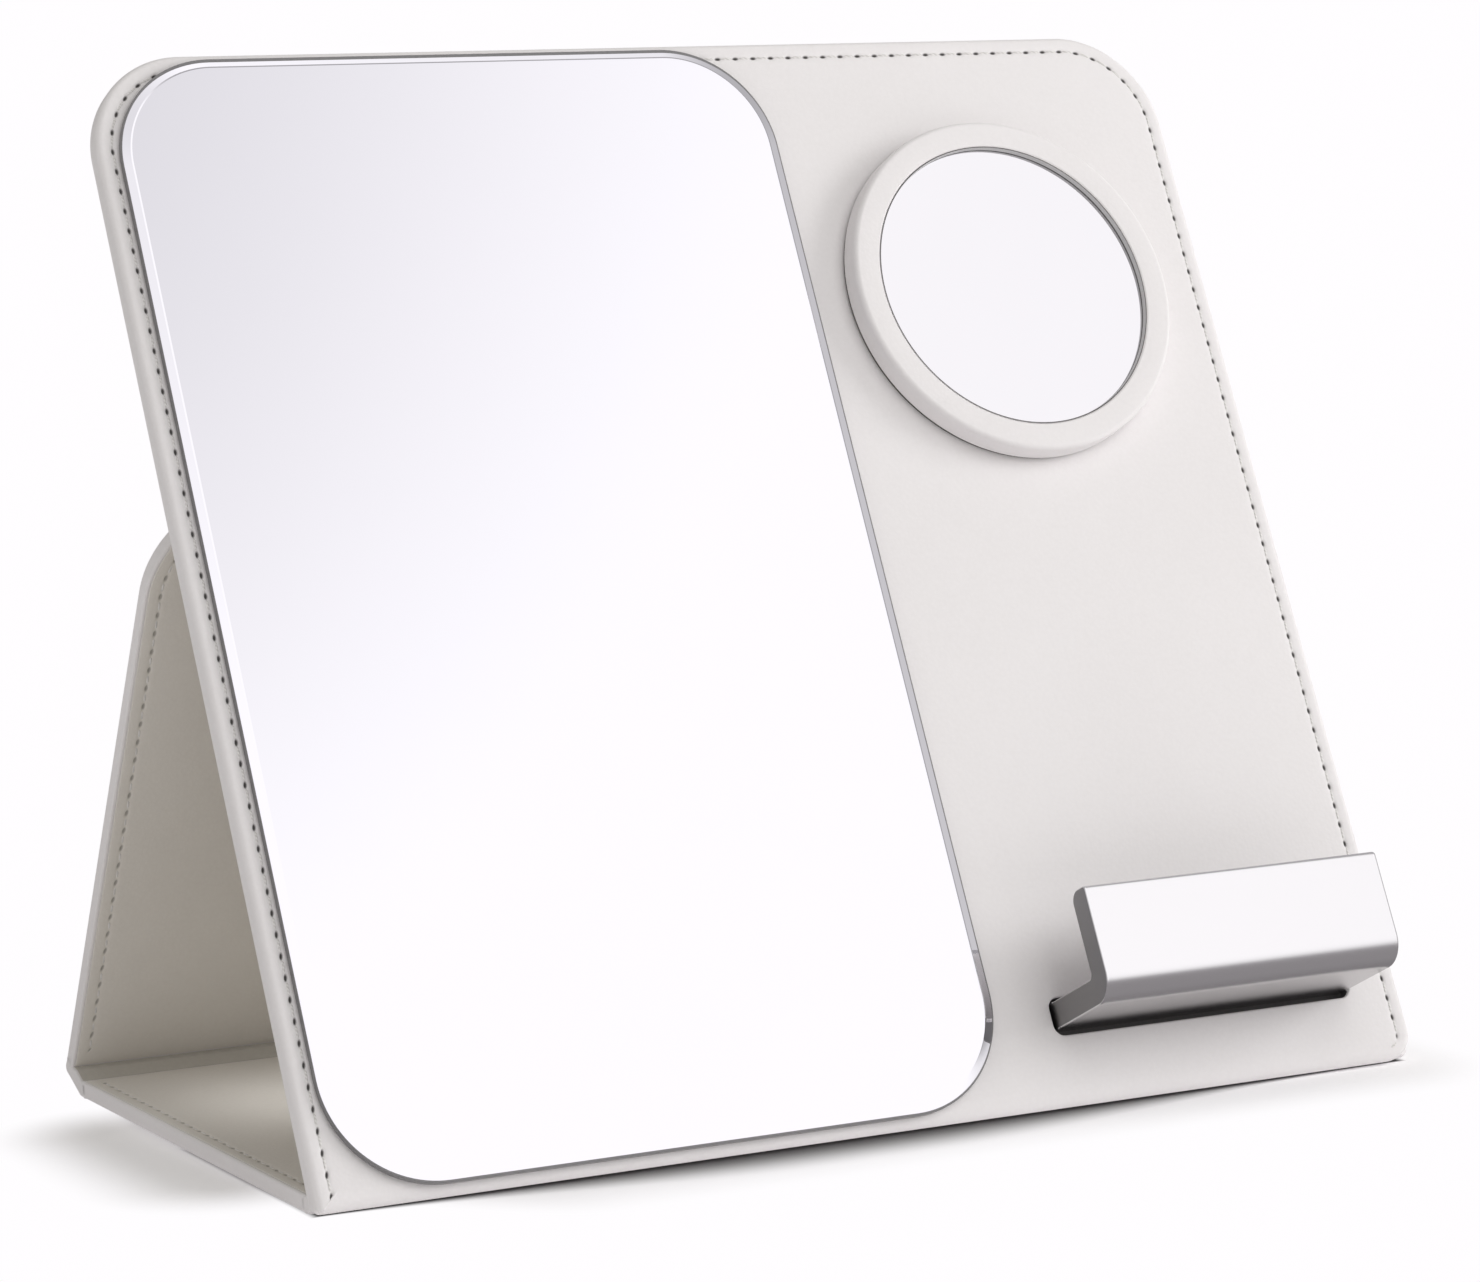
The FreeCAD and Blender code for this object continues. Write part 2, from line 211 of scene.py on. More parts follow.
class Outline:
    """Rectangle with a radius of its own at each low corner, and one for both high corners."""

    def __init__(self, low, high, low_rounds, high_round):
        self.left, self.low = low.x, low.y
        self.right, self.high = high.x, high.y
        self.left_round, self.right_round = low_rounds
        self.high_round = high_round

    def points(self, places, inset):
        """x and y of the places on the outline drawn in by inset."""
        left, right = self.left + inset, self.right - inset
        low, high = self.low + inset, self.high - inset
        first = np.maximum(self.left_round - inset, least_round)
        second = np.maximum(self.right_round - inset, least_round)
        large = np.maximum(self.high_round - inset, least_round)
        part = places.part
        bend = np.sin(part * math.pi / 2)
        ease = np.cos(part * math.pi / 2)
        rise = low + first + part * (high - large - low - first)
        fall = low + second + (1 - part) * (high - large - low - second)
        x = (left, left + large * (1 - ease), left + large + part * (right - left - 2 * large),
             right - large * (1 - bend), right, right - second * (1 - ease),
             right - second - part * (right - left - first - second), left + first * (1 - bend))
        y = (rise, high - large * (1 - bend), high, high - large * (1 - ease),
             fall, low + second * (1 - bend), low, low + first * (1 - ease))
        size = part.shape
        x = [np.broadcast_to(value, size) for value in x]
        y = [np.broadcast_to(value, size) for value in y]
        return np.choose(places.side, x), np.choose(places.side, y)

    def ring(self, places, inset, z):
        """Closed ring of points on the outline, drawn in by inset, at height z."""
        x, y = self.points(places, inset)
        return np.stack([x, y, np.broadcast_to(z, x.shape)], axis=1)

    def lengths(self, inset):
        """Length of each side of the outline drawn in by inset."""
        wide = self.right - self.left - 2 * inset
        tall = self.high - self.low - 2 * inset
        first = max(self.left_round - inset, least_round)
        second = max(self.right_round - inset, least_round)
        large = max(self.high_round - inset, least_round)
        return (tall - first - large, large * math.pi / 2, wide - 2 * large, large * math.pi / 2,
                tall - second - large, second * math.pi / 2, wide - first - second, first * math.pi / 2)

    def holds(self, x, y):
        """True where a point lies inside the outline."""
        low_round = np.where(x > (self.left + self.right) / 2, self.right_round, self.left_round)
        round_off = np.where(y > (self.low + self.high) / 2, self.high_round, low_round)
        over_x = np.maximum(self.left + round_off - x, x - self.right + round_off)
        over_y = np.maximum(self.low + round_off - y, y - self.high + round_off)
        corner = np.hypot(np.maximum(over_x, 0), np.maximum(over_y, 0))
        return (corner < round_off) & (over_x < round_off) & (over_y < round_off)


def even_rows(side, line_steps, corner_steps):
    """Evenly spread places along one side, with nothing sewn."""
    steps = corner_steps if side % 2 else line_steps
    return [(side, step / steps, 0, 0) for step in range(steps)]


def plain_places(line_steps, corner_steps):
    """Evenly spread places round an outline."""
    return Places([row for side in range(side_count) for row in even_rows(side, line_steps, corner_steps)])


def along_run(outline, run, share):
    """(side, part) of the places at these shares of the way along a sewn run of sides."""
    lengths = outline.lengths(seam_inset)
    ends = np.cumsum([lengths[side] for side in run])
    starts = ends - np.array([lengths[side] for side in run])
    distance = np.asarray(share) * ends[-1]
    number = np.minimum(np.searchsorted(ends, distance, side="right"), len(run) - 1)
    side = np.array(run)[number]
    part = (distance - starts[number]) / (ends - starts)[number]
    return side, part


def stitch_count(outline, run):
    lengths = outline.lengths(seam_inset)
    return round(sum(lengths[side] for side in run) / stitch_pitch)


def bell(distance, width):
    """1 at no distance, falling to almost 0 at twice the width."""
    return np.exp(-(distance / width) ** 2)


def sewn_places(outline, runs, line_steps=14, corner_steps=6):
    """Places round a panel, close together at the needle holes of its sewn runs."""
    phases = np.array(column_phases)
    to_hole = np.minimum(phases, 1 - phases) * stitch_pitch
    nearness = bell(to_hole, hole_length)
    run_of = {run[0]: run for run in runs}
    sewn = {side for run in runs for side in run}
    rows = []
    for side in range(side_count):
        if side in run_of:
            count = stitch_count(outline, run_of[side])
            share = ((np.arange(count)[:, None] + phases) / count).ravel()
            sides, parts = along_run(outline, run_of[side], share)
            sewn_in = np.where(sides == LOW_RIGHT, np.clip(1 - seam_fade * parts, 0, 1), 1.0)
            rows += list(zip(sides, parts, sewn_in, sewn_in * np.tile(nearness, count)))
        elif side not in sewn:
            rows += even_rows(side, line_steps, corner_steps)
    return Places(rows)


class Panel:
    """A leather-covered board in its panel coordinates. ends names the sides with an edge of their own."""

    def __init__(self, node, axes, low_rounds, high_round, runs, edge, ends, foot_slope=0.0):
        low, high = laid_flat(node, axes)
        if foot_slope:
            low.y -= foot_lower
        self.axes = axes
        self.outline = Outline(low, high, low_rounds, high_round)
        self.inner = low.z
        self.outer = high.z
        self.runs = runs
        self.edge = edge
        self.ends = ends
        self.foot_slope = foot_slope
        self.places = sewn_places(self.outline, runs)

    def edge_value(self, name):
        """One size of the panel's edge at each of its places."""
        plain = getattr(self.edge, name)
        value = np.full(len(self.places.part), plain)
        for side, edge in self.ends.items():
            value += self.places.share_of(side) * (getattr(edge, name) - plain)
        return value

    def ring(self, inset, z):
        """Ring of points round the panel, drawn in by inset, at height z."""
        points = self.outline.ring(self.places, inset, z)
        points[:, 1] = self.slope_foot(points[:, 1], points[:, 2])
        return points

    def slope_foot(self, y, z):
        """Slant the low end, so that the foot of a leaning panel is level with the floor."""
        share = np.clip((self.outline.low + slant_reach - y) / slant_reach, 0, 1)
        return y + share * self.foot_slope * (self.outer - z)


sides_and_top = [[LEFT, HIGH_LEFT, TOP, HIGH_RIGHT, RIGHT]]
round_to_foot = [[LEFT, HIGH_LEFT, TOP, HIGH_RIGHT, RIGHT, LOW_RIGHT]]
sides_only = [[LEFT], [RIGHT]]
square = (least_round, least_round)
front_panel = Panel("front_skin", front_axes, foot_corners, front_corner, round_to_foot, front_edge,
                    {BOTTOM: foot_edge, TOP: front_top_edge}, math.tan(front_lean))
base_panel = Panel("base_skin", base_axes, square, least_round, sides_only, stand_edge,
                   {BOTTOM: crease_edge, TOP: crease_edge})
back_panel = Panel("back_skin", back_axes, square, back_corner, sides_and_top, stand_edge,
                   {BOTTOM: crease_edge})
half_width = front_panel.outline.right


# Meshes

def band(first, count):
    """Quads between two closed rings of count points, numbered one ring after the other from first."""
    here = first + np.arange(count)
    ahead = np.roll(here, -1)
    return np.stack([here, ahead, count + ahead, count + here], axis=1)


def loft(rings):
    """Points and quads of closed rings joined one to the next."""
    count = len(rings[0])
    quads = [band(level * count, count) for level in range(len(rings) - 1)]
    return np.concatenate(rings), np.concatenate(quads)


def add_piece(name, points, faces, finishes, body, stands_for, axes=None, sharp=35):
    """Closed, smooth piece on a CAD body. axes lays its points out, and open flat rims are filled."""
    mesh = bpy.data.meshes.new(name)
    mesh.from_pydata(points.tolist(), [], [list(face) for face in faces])
    close_rims(mesh)
    for finish in finishes:
        mesh.materials.append(finish)
    if axes is not None:
        mesh.transform(axes)
    mesh.shade_smooth()
    mesh.set_sharp_from_angle(angle=math.radians(sharp))
    piece = bpy.data.objects.new(name, mesh)
    bpy.context.scene.collection.objects.link(piece)
    if body:
        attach(piece, body)
    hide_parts(*stands_for)
    return piece


def close_rims(mesh):
    """Fill the open rims that lie at one height, holes left open, and turn every face outward."""
    shape = bmesh.new()
    shape.from_mesh(mesh)
    same_level = 0.001 * MM
    levels = {}
    for edge in shape.edges:
        if edge.is_boundary:
            levels.setdefault(round(edge.verts[0].co.z / same_level), []).append(edge)
    for edges in levels.values():
        bmesh.ops.triangle_fill(shape, use_beauty=True, use_dissolve=False, edges=edges)
    bmesh.ops.recalc_face_normals(shape, faces=shape.faces)
    shape.to_mesh(mesh)
    shape.free()


def mark_holes(piece, values):
    """Keep how near each point is to a needle hole, for the painted shade in the leather's needle holes.
    """
    kept = piece.data.attributes.new("needle_hole", "FLOAT", "POINT")
    padded = np.zeros(len(piece.data.vertices), np.float32)
    padded[:len(values)] = values
    kept.data.foreach_set("value", padded)


def sewn_face(panel, face, inward, widen=0.0):
    """Rings over a sewn face from its middle to its seam's outer side, and their hole marks, which place
    the painted hole shade.
    """
    rings, marks = [], []
    for offset in row_offsets:
        hole = bell(offset, hole_width) * panel.places.hole
        sunk = seam_depth * bell(offset, seam_width) * panel.places.sewn + hole_depth * hole
        rings.append(panel.ring(seam_inset + offset + widen, face + inward * sunk))
        marks.append(hole)
    return rings, marks


def roll_steps(roll, drop):
    """(inset, depth) steps from a face over its edge, following a quarter of an ellipse."""
    angles = [math.radians(turn) for turn in roll_turns]
    return [(roll * (1 - math.sin(angle)), drop * (1 - math.cos(angle))) for angle in angles]


def panel_cover(name, panel, body, stands_for, slot_box=None):
    """Outer leather of a panel, turned over its edges and tucked under the lining."""
    roll, drop, inner_roll, inner_drop = [panel.edge_value(size) for size in Edge._fields]
    widen = np.maximum(roll + seam_clear - seam_inset - row_offsets[-1], 0)
    rings, marks = sewn_face(panel, panel.outer, -1, widen)
    rings += [panel.ring(inset, panel.outer - depth) for inset, depth in roll_steps(roll, drop)]
    rolled_in = roll_steps(inner_roll, inner_drop)[::-1]
    rings += [panel.ring(inset, panel.inner + depth) for inset, depth in rolled_in]
    rings.append(panel.ring(inner_roll + lining_tuck, panel.inner + lining_back))
    marks += [np.zeros(len(panel.places.part))] * (len(rings) - len(marks))
    points, faces = loft(rings)
    marks = np.concatenate(marks)
    if slot_box:
        hole_points, hole_faces = loft(slot_rings(panel, slot_box))
        faces = np.concatenate([faces, hole_faces + len(points)])
        points = np.concatenate([points, hole_points])
    piece = add_piece(name, points, faces, [leather_finish], body, stands_for, panel.axes)
    mark_holes(piece, marks)


def slot_rings(panel, slot_box):
    """Rounded lip of the slot and the leather's cut edge below it."""
    low, high = slot_box
    inset = Vector((slot_wall, slot_wall, 0))
    outline = Outline(low + inset, high - inset, (slot_corner, slot_corner), slot_corner)
    places = plain_places(line_steps=6, corner_steps=6)
    steps = [(grow, panel.outer - depth) for grow, depth in roll_steps(slot_lip, slot_lip)]
    under = panel.outer - slot_depth
    steps += [(0, under), (slot_flange, under - slot_step), (slot_flange, panel.inner + lining_back)]
    return [outline.ring(places, -grow, z) for grow, z in steps]


def panel_lining(name, panel, body, stands_for):
    """Sheet sewn over the inner face of a panel, almost to its edges."""
    face = panel.inner - lining_lift
    rings, marks = sewn_face(panel, face, lining_seam)
    thin = lining_lift + lining_back
    edge = panel.edge_value("inner_roll") + lining_margin
    for inset, down in lining_edge:
        rings.append(panel.ring(edge + inset, face + down * thin))
        marks.append(np.zeros(len(panel.places.part)))
    points, faces = loft(rings)
    piece = add_piece(name, points, faces, [lining_finish], body, stands_for, panel.axes)
    mark_holes(piece, np.concatenate(marks))


def seam_thread(name, panel, body, stands_for, proud_outside, hidden=None):
    """Stitches of a panel as short threads that dive into the leather at both ends.

    Outer stitches whose middle lies in the hidden outline are left out."""
    sides = ((panel.outer, 1, proud_outside), (panel.inner, -1, lined_proud))
    stations = np.linspace(0, 1, thread_stations)
    points, faces, total = [], [], 0
    for face, outward, proud in sides:
        for run in panel.runs:
            count = stitch_count(panel.outline, run)
            start = np.arange(count)[:, None]
            share = (start + stitch_gap + stations * (1 - 2 * stitch_gap)) / count
            middle = stitch_lines(panel, run, share, stations, face, outward, proud)
            seen = np.ones(count, bool)
            if hidden and outward > 0:
                mid = middle[:, thread_stations // 2]
                seen = ~hidden.holds(mid[:, 0], mid[:, 1])
            tubes = round_threads(middle[seen], outward)
            points.append(tubes.reshape(-1, 3))
            faces += thread_faces(len(tubes), total)
            total += len(points[-1])
    points = np.concatenate(points)
    add_piece(name, points, faces, [thread], body, stands_for, panel.axes, sharp=60)


def stitch_lines(panel, run, share, stations, face, outward, proud):
    """Middle line of each stitch, as stitches by stations by coordinates."""
    side, part = along_run(panel.outline, run, share.ravel())
    empty = np.zeros(len(side))
    places = Places(list(zip(side, part, empty, empty)))
    slant = np.tile(stitch_slant * (stations - 0.5), len(share))
    x, y = panel.outline.points(places, seam_inset + slant)
    dive = np.tile(thread_dive * np.abs(2 * stations - 1) ** dive_power, len(share))
    z = face + outward * (proud - thread_radius - dive)
    y = panel.slope_foot(y, z)
    return np.stack([x, y, z], axis=1).reshape(*share.shape, 3)


def round_threads(middle, outward):
    """Slightly flattened tube points round each stitch's middle line."""
    turns = np.linspace(0, 2 * math.pi, thread_sides, endpoint=False)
    way = np.gradient(middle, axis=1)
    way[..., 2] = 0
    way /= np.linalg.norm(way, axis=2, keepdims=True)
    out = np.array([0, 0, outward], float)
    beside = np.cross(way, out)
    sideways = np.cos(turns)[:, None] * beside[:, :, None]
    upward = thread_flat * np.sin(turns)[:, None] * out
    return middle[:, :, None] + thread_radius * (sideways + upward)


def thread_faces(stitches, first):
    """Faces of the stitches' tubes and of their two ends, for points numbered from first."""
    faces = []
    end = np.arange(thread_sides)
    for stitch in range(stitches):
        near = first + stitch * thread_stations * thread_sides
        far = near + (thread_stations - 1) * thread_sides
        for start in range(near, far, thread_sides):
            faces += band(start, thread_sides).tolist()
        faces.append((near + end[::-1]).tolist())
        faces.append((far + end).tolist())
    return faces


# Finishes

pebble_size = 0.75 * MM
fine_grain = 0.35 * MM
crinkle_size = 4.5 * MM
cloud_size = 38 * MM
grain_depth = 0.06 * MM
twist_pitch = 1.6 * MM
twist_depth = 0.06 * MM
fuzz_size = 0.15 * MM
haze_size = 30 * MM
grind_size = 0.4 * MM
grind_depth = 0.02 * MM
blast_size = 0.12 * MM
blast_depth = 0.01 * MM
tarnish_size = 25 * MM


class Wire:
    """Output of a shader node. Arithmetic on it adds Math nodes to the same tree."""

    def __init__(self, paint, socket):
        self.paint = paint
        self.socket = socket

    def math(self, operation, first, second):
        return self.paint.node("ShaderNodeMath", {"operation": operation}, {0: first, 1: second})

    def __add__(self, other):
        return self.math("ADD", self, other)

    def __sub__(self, other):
        return self.math("SUBTRACT", self, other)

    def __rsub__(self, other):
        return self.math("SUBTRACT", other, self)

    def __mul__(self, other):
        return self.math("MULTIPLY", self, other)

    def __truediv__(self, other):
        return self.math("DIVIDE", self, other)

    def larger(self, other):
        return self.math("MAXIMUM", self, other)

    def unsigned(self):
        return self.math("ABSOLUTE", self, 0.0)

    __radd__ = __add__
    __rmul__ = __mul__


class Paint:
    """A node tree that is being filled."""

    def __init__(self, tree):
        self.tree = tree
        tree.nodes.clear()

    def node(self, kind, settings=None, sockets=None, output=0):
        """Add a node, give it its settings, then its socket values or links, and return one output."""
        made = self.tree.nodes.new(kind)
        for key, value in (settings or {}).items():
            setattr(made, key, value)
        for key, value in (sockets or {}).items():
            if isinstance(value, Wire):
                self.tree.links.new(value.socket, made.inputs[key])
            else:
                made.inputs[key].default_value = value
        return Wire(self, made.outputs[output]) if len(made.outputs) else None

    def mix(self, share, first, second):
        """Colour between two colours."""
        return self.node("ShaderNodeMix", {"data_type": "RGBA"}, {0: share, 6: first, 7: second}, 2)

    def ramp(self, value, low, high):
        """Smooth step of a value from 0 at low to 1 at high."""
        return self.node("ShaderNodeMapRange", {"interpolation_type": "SMOOTHSTEP"},
                         {"Value": value, "From Min": low, "From Max": high})

    def place(self):
        return self.node("ShaderNodeTexCoord", output="Object")

    def stretched(self, factors):
        """The place with each coordinate multiplied, which draws a pattern out along an axis."""
        sockets = {0: self.place(), 1: factors}
        return self.node("ShaderNodeVectorMath", {"operation": "MULTIPLY"}, sockets)

    def axis(self, vector, name):
        """X, Y or Z of a vector."""
        return self.node("ShaderNodeSeparateXYZ", None, {0: vector}, name)

    def noise(self, where, size, detail, rough):
        """Noise whose features are about size wide."""
        return self.node("ShaderNodeTexNoise", None,
                         {"Vector": where, "Scale": 1 / size, "Detail": detail, "Roughness": rough})

    def bump(self, height, depth, strength):
        sockets = {"Strength": strength, "Distance": depth, "Height": height}
        return self.node("ShaderNodeBump", None, sockets)

    def glow(self, colour, strength):
        return self.node("ShaderNodeEmission", None, {"Color": colour, "Strength": strength})

    def matt(self, colour):
        return self.node("ShaderNodeBsdfDiffuse", None, {"Color": colour})

    def mix_shaders(self, share, first, second):
        return self.node("ShaderNodeMixShader", None, {0: share, 1: first, 2: second})

    def surface(self, shader):
        self.node("ShaderNodeOutputMaterial", None, {"Surface": shader})

    def principled(self, sockets):
        self.surface(self.node("ShaderNodeBsdfPrincipled", None, sockets))


def new_finish(name):
    made = bpy.data.materials.new(name)
    made.use_nodes = True
    return made, Paint(made.node_tree)


def rgb(red, green, blue):
    return (red, green, blue, 1.0)


def leather(name, light, dark, hole_shade, roughness):
    """Fine-grained leather with painted shade darkening its needle holes."""
    made, paint = new_finish(name)
    place = paint.place()
    pebble = paint.node("ShaderNodeTexVoronoi", {"feature": "SMOOTH_F1"},
                        {"Vector": place, "Scale": 1 / pebble_size, "Smoothness": 0.5})
    fine = paint.noise(place, fine_grain, 3.0, 0.6)
    crinkle = paint.noise(place, crinkle_size, 3.0, 0.55)
    cloud = paint.noise(place, cloud_size, 2.0, 0.5)
    hole = paint.node("ShaderNodeAttribute", {"attribute_name": "needle_hole"}, None, "Fac")
    shade = paint.ramp(cloud * 0.7 + pebble * 0.35, 0.25, 0.85)
    colour = paint.mix(shade, rgb(*light), rgb(*dark))
    # Painted shade: the needle holes take the dark hole colour
    colour = paint.mix(paint.ramp(hole, 0.15, 0.75), colour, rgb(*hole_shade))
    height = pebble * 0.75 + fine * 0.35 + crinkle * 0.8
    paint.principled({
        "Base Color": colour,
        "Roughness": paint.ramp(fine, 0.2, 0.8) * 0.12 + roughness,
        "Specular IOR Level": 0.35,
        "Normal": paint.bump(height, grain_depth, 0.45),
    })
    return made


def thread_finish():
    """Twisted thread."""
    made, paint = new_finish("sewing_thread")
    place = paint.place()
    twist = paint.node("ShaderNodeTexWave", {"bands_direction": "DIAGONAL"},
                       {"Vector": place, "Scale": 1 / twist_pitch, "Distortion": 0.6})
    fuzz = paint.noise(place, fuzz_size, 2.0, 0.7)
    paint.principled({
        "Base Color": paint.mix(twist, rgb(0.69, 0.67, 0.655), rgb(0.83, 0.81, 0.80)),
        "Roughness": fuzz * 0.2 + 0.6,
        "Specular IOR Level": 0.25,
        "Normal": paint.bump(twist * 0.7 + fuzz * 0.3, twist_depth, 0.7),
    })
    return made


def silvered_glass(name, light, dark):
    """Clean mirror with the faintest haze of handling."""
    made, paint = new_finish(name)
    haze = paint.noise(paint.place(), haze_size, 3.0, 0.6)
    paint.principled({
        "Base Color": paint.mix(haze, rgb(*light), rgb(*dark)),
        "Metallic": 1.0,
        "Roughness": paint.ramp(haze, 0.4, 0.8) * 0.012 + 0.008,
    })
    return made


def ground_edge_and_shade():
    """Dark ground edge of the mirror glass, where the silvering stops, partly real and partly painted
    shade along the glass's edge.
    """
    made, paint = new_finish("ground_glass_edge")
    grind = paint.noise(paint.place(), grind_size, 3.0, 0.65)
    paint.principled({
        "Base Color": paint.mix(grind, rgb(0.14, 0.135, 0.14), rgb(0.26, 0.255, 0.26)),
        "Roughness": grind * 0.2 + 0.22,
        "Normal": paint.bump(grind, grind_depth, 0.4),
    })
    return made


def metal(name, light, dark, roughness, grain, drawn=(1.0, 1.0, 1.0)):
    """Metal with a fine finish. drawn stretches the finish along an axis."""
    made, paint = new_finish(name)
    blast = paint.noise(paint.stretched(drawn), grain, 3.0, 0.6)
    tarnish = paint.noise(paint.place(), tarnish_size, 2.0, 0.5)
    shade = paint.ramp(tarnish * 0.5 + blast * 0.5, 0.3, 0.7)
    paint.principled({
        "Base Color": paint.mix(shade, rgb(*dark), rgb(*light)),
        "Metallic": 1.0,
        "Roughness": blast * 0.1 + roughness,
        "Normal": paint.bump(blast, blast_depth, 0.3),
    })
    return made


def satin_aluminium():
    """Drawn and blasted bar, bright along its faces, with painted shade darkening its underside and its
    end faces.
    """
    made, paint = new_finish("satin_aluminium")
    blast = paint.noise(paint.stretched((0.15, 1.0, 1.0)), blast_size, 3.0, 0.6)
    facing = paint.node("ShaderNodeTexCoord", output="Normal")
    # Painted shade: darker colour on the end faces and on the underside
    painted_end_shade = paint.ramp(paint.axis(facing, "X").unsigned(), 0.8, 0.97)
    under = paint.ramp(0.0 - paint.axis(facing, "Z"), 0.35, 0.95)
    bright = paint.mix(blast, rgb(0.79, 0.782, 0.79), rgb(0.815, 0.807, 0.815))
    bright = paint.mix(under, bright, rgb(0.58, 0.57, 0.575))
    paint.principled({
        "Base Color": paint.mix(painted_end_shade, bright, rgb(0.27, 0.265, 0.265)),
        "Metallic": 1.0,
        "Roughness": painted_end_shade * 0.1 + blast * 0.05 + 0.22,
        "Normal": paint.bump(blast, blast_depth, 0.25),
    })
    return made


def matt(name, light, dark, roughness, grain, depth):
    """Plain matt stuff with a mottled, grained face."""
    made, paint = new_finish(name)
    speckle = paint.noise(paint.place(), grain, 4.0, 0.6)
    paint.principled({
        "Base Color": paint.mix(paint.ramp(speckle, 0.3, 0.7), rgb(*dark), rgb(*light)),
        "Roughness": speckle * 0.15 + roughness,
        "Specular IOR Level": 0.3,
        "Normal": paint.bump(speckle, depth, 0.5),
    })
    return made


# Painted shade: dark colours for the needle holes of the leather and the linings
lining_hole_shade = (0.40, 0.38, 0.35)
leather_finish = leather("off_white_leather", (0.865, 0.839, 0.845), (0.84, 0.813, 0.817),
                         hole_shade=(0.07, 0.065, 0.063), roughness=0.46)
lining_finish = leather("off_white_lining", (0.815, 0.783, 0.735), (0.785, 0.75, 0.70), lining_hole_shade, 0.55)
# Painted shade: a darker copy of the lining for the inner faces of the creases
crease_shade_finish = leather("rubbed_crease", (0.60, 0.575, 0.53), (0.56, 0.535, 0.49), lining_hole_shade, 0.6)
thread = thread_finish()
mirror_finish = silvered_glass("silvered_glass", (0.805, 0.797, 0.832), (0.795, 0.79, 0.822))
round_silver = silvered_glass("round_silver", (0.755, 0.747, 0.765), (0.742, 0.735, 0.753))
edge_and_shade_finish = ground_edge_and_shade()
aluminium = satin_aluminium()
bezel_finish = matt("grey_bezel", (0.72, 0.71, 0.715), (0.66, 0.65, 0.655), 0.3, 0.2 * MM, 0.005 * MM)
# Painted shade: dark lines at the ring's foot and along the bezel's lip and foot
painted_line_finish = matt("dark_foot", (0.13, 0.125, 0.125), (0.09, 0.086, 0.086), 0.6, 0.3 * MM, 0.01 * MM)
steel = metal("sheet_steel", (0.62, 0.62, 0.63), (0.52, 0.52, 0.53), 0.3, 0.2 * MM, (0.1, 1.0, 1.0))
nickel = metal("nickel_plate", (0.70, 0.69, 0.67), (0.62, 0.61, 0.60), 0.16, 0.3 * MM)
slot_black = matt("slot_black", (0.14, 0.132, 0.132), (0.11, 0.104, 0.104), 0.5, 0.4 * MM, 0.02 * MM)
tape_black = matt("mounting_tape", (0.06, 0.06, 0.062), (0.035, 0.035, 0.037), 0.7, 0.3 * MM, 0.02 * MM)
core_white = matt("moulded_white", (0.74, 0.73, 0.71), (0.68, 0.67, 0.65), 0.45, 0.8 * MM, 0.01 * MM)
book_board = matt("book_board", (0.56, 0.53, 0.48), (0.44, 0.41, 0.37), 0.85, 0.6 * MM, 0.05 * MM)

node_finishes = {
    "front_board": book_board, "base_board": book_board, "back_board": book_board,
    "mirror_tape": tape_black, "slot_liner": slot_black, "phone_rest": aluminium,
    "puck_keeper": steel, "latch_strip": steel, "latch_magnets": nickel, "puck_magnets": nickel,
    "puck_core": core_white, "puck_pad": lining_finish,
}
for node, finish in node_finishes.items():
    mesh = frame["nodes"][node].data
    mesh.materials.clear()
    mesh.materials.append(finish)


# Panels

slot_box = laid_flat("slot_liner", front_axes)
mirror_low, mirror_high = laid_flat("mirror_glass", front_axes)
mirror_outline = Outline(mirror_low, mirror_high, (mirror_corner, mirror_corner), mirror_corner)

panel_cover("front_cover", front_panel, "front", ["front_skin"], slot_box)
panel_cover("base_cover", base_panel, "base", ["base_skin"])
panel_cover("back_cover", back_panel, "back", ["back_skin"])
panel_lining("front_rear_lining", front_panel, "front", ["front_lining"])
panel_lining("base_top_lining", base_panel, "base", ["base_lining"])
panel_lining("back_inner_lining", back_panel, "back", ["back_lining"])
seam_thread("front_seam", front_panel, "front", ["front_stitching"], outer_proud, hidden=mirror_outline)
seam_thread("base_seam", base_panel, "base", ["base_stitching"], base_proud)
seam_thread("back_seam", back_panel, "back", ["back_stitching"], outer_proud)


# Large mirror

# Bare edge widened on the top, right and bottom as painted shade
bare_widths_with_painted_shade = {TOP: 0.7 * MM, RIGHT: 0.3 * MM, BOTTOM: 0.42 * MM}


def mirror_plate():
    """Glass plate with a narrow bevel that ends in a finer facet, bare of silver along its very edge, the
    bare band widened on some sides as painted shade.
    """
    places = plain_places(line_steps=2, corner_steps=28)
    back, top = mirror_low.z, mirror_high.z
    brow = top - glass_facet_drop * (1 - places.share_of(BOTTOM))
    shoulder = brow - glass_bevel_drop
    slope = glass_bevel_drop / glass_bevel
    bare = np.full(len(places.part), bare_edge)
    for side, width in bare_widths_with_painted_shade.items():
        bare += (width - bare_edge) * places.share_of(side)
    steps = [(glass_arris, back), (0, back + glass_arris), (0, shoulder - glass_arris),
             (glass_arris, shoulder + glass_arris * slope), (bare, shoulder + bare * slope),
             (glass_bevel, brow), (glass_bevel + glass_facet, top), (glass_bevel * 2, top)]
    points, faces = loft([mirror_outline.ring(places, inset, z) for inset, z in steps])
    piece = add_piece("mirror_plate", points, faces, [mirror_finish, edge_and_shade_finish], "front",
                      ["mirror_glass"], front_axes, sharp=6)
    bare_bands = 4
    for face in piece.data.polygons[:bare_bands * len(places.part)]:
        face.material_index = 1


mirror_plate()


# Round mirror

ring_low, ring_high = laid_flat("puck_shell", front_axes)
round_glass_low, round_glass_high = laid_flat("puck_glass", front_axes)
bezel_low, bezel_high = laid_flat("puck_rim", front_axes)
ring_middle = (ring_low + ring_high) / 2
round_axes = front_axes @ Matrix.Translation((ring_middle.x, ring_middle.y, 0))
ring_radius = (ring_high.x - ring_low.x) / 2
round_glass_radius = (round_glass_high.x - round_glass_low.x) / 2
bezel_radius = (bezel_high.x - bezel_low.x) / 2


